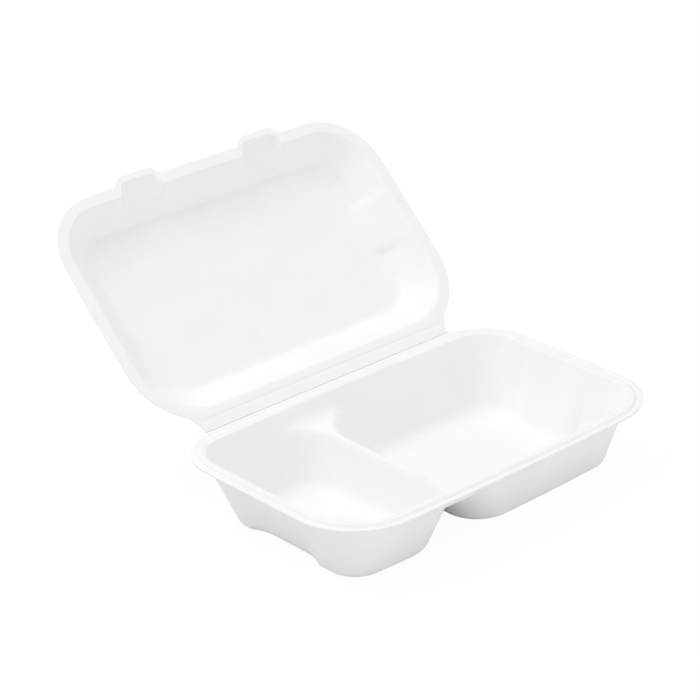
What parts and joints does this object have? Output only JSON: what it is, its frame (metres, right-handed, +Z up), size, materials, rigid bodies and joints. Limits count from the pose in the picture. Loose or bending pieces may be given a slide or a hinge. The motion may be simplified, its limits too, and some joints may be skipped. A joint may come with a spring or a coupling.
{
  "type": "hinged meal container",
  "caption": "White molded fiber clamshell meal box standing open: an unevenly divided tray and a shallow hinged lid with closing tabs.",
  "frame": {"origin": "on the table, under the middle of the tray's outline", "axes": "+X along the tray's length and the fold, toward the large compartment; +Y toward the fold; +Z up"},
  "size_m": [0.25, 0.2756, 0.1562],
  "materials": {
    "tray_fiber": "matte molded fiber",
    "lid_fiber": "matte molded fiber"
  },
  "bodies": {
    "tray": {"base_tray": "tray_fiber"},
    "lid": {"lid": "lid_fiber"}
  },
  "joints": [
    {"name": "lid_fold", "type": "hinge", "parent": "tray", "child": "lid", "pos_m": [0, 0.07925, 0.04375], "axis": [1, 0, 0], "range_deg": [-44, 136]}
  ]
}
